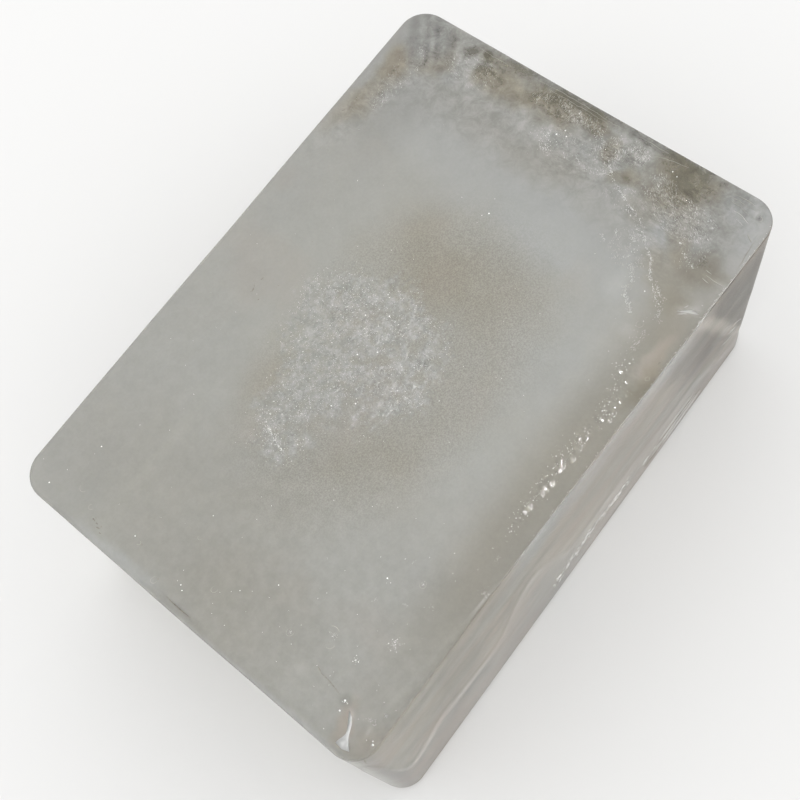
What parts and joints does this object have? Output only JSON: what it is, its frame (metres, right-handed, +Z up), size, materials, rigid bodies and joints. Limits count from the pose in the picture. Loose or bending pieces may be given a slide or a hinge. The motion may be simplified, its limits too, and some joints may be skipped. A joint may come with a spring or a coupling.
{
  "type": "ice block",
  "caption": "Rectangular block of milky, partly clear ice with rounded upright corners and a flat base, frozen in a mould as one piece.",
  "frame": {"origin": "middle of the base, where the block meets the surface it rests on", "axes": "+X along the block's length, +Y across its width towards the back, +Z up"},
  "size_m": [0.3022, 0.2068, 0.1343],
  "materials": {
    "ice": "milky grey-white ice, see-through at the rims, wet and glossy with frosted patches, bubbles and needle streaks inside"
  },
  "bodies": {
    "root": {"ice_block": "ice"}
  },
  "joints": []
}
